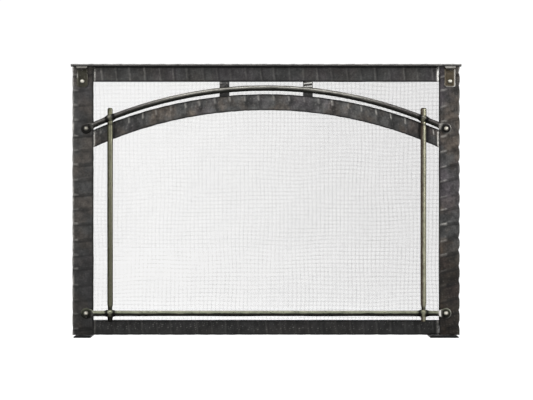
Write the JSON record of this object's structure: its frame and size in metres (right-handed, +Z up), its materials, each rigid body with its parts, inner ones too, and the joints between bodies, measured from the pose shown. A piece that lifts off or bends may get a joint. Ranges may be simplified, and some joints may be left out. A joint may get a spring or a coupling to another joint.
{
  "type": "fireplace screen",
  "caption": "Free-standing hammered iron fireplace screen: a flat-bar frame with an arched bar, forged rods with riveted ends, and a woven wire mesh panel on front-to-back feet.",
  "frame": {"origin": "on the floor, below the middle of the screen's bounding box", "axes": "+X to the right seen from the front, +Y from the front towards the fire, +Z up; the front faces -Y"},
  "size_m": [0.99, 0.17, 0.6931],
  "materials": {
    "hammered_bar": "hammered wrought iron, dark charcoal under clear wax",
    "forged_rod": "forged round bar, burnished olive bronze over black",
    "fastener": "burnished domed heads",
    "clip": "forged clip, burnished brown bronze",
    "mesh_wire": "bare woven wire, light grey",
    "blackened_steel": "mill scale black, satin"
  },
  "bodies": {
    "root": {"arch_bar": "hammered_bar", "arch_rod": "forged_rod", "arch_rod_rivet_left": "fastener", "arch_rod_rivet_right": "fastener", "bottom_rail": "hammered_bar", "bottom_rod": "forged_rod", "bottom_rod_rivet_left": "fastener", "bottom_rod_rivet_right": "fastener", "cap_bar": "hammered_bar", "cap_rivet_left": "fastener", "cap_rivet_right": "fastener", "clip_rivet_left": "fastener", "clip_rivet_right": "fastener", "left_corner_clip": "clip", "left_foot": "hammered_bar", "left_gusset": "blackened_steel", "left_spacer": "hammered_bar", "left_stile": "hammered_bar", "left_upright_rod": "forged_rod", "retainer_bottom": "blackened_steel", "retainer_left": "blackened_steel", "retainer_right": "blackened_steel", "retainer_screw_bottom_1": "fastener", "retainer_screw_bottom_2": "fastener", "retainer_screw_bottom_3": "fastener", "retainer_screw_bottom_4": "fastener", "retainer_screw_left_1": "fastener", "retainer_screw_left_2": "fastener", "retainer_screw_right_1": "fastener", "retainer_screw_right_2": "fastener", "retainer_screw_top_1": "fastener", "retainer_screw_top_2": "fastener", "retainer_screw_top_3": "fastener", "retainer_screw_top_4": "fastener", "retainer_top": "blackened_steel", "right_corner_clip": "clip", "right_foot": "hammered_bar", "right_gusset": "blackened_steel", "right_spacer": "hammered_bar", "right_stile": "hammered_bar", "right_upright_rod": "forged_rod", "top_rail": "hammered_bar", "wire_mesh": "mesh_wire"}
  },
  "joints": []
}
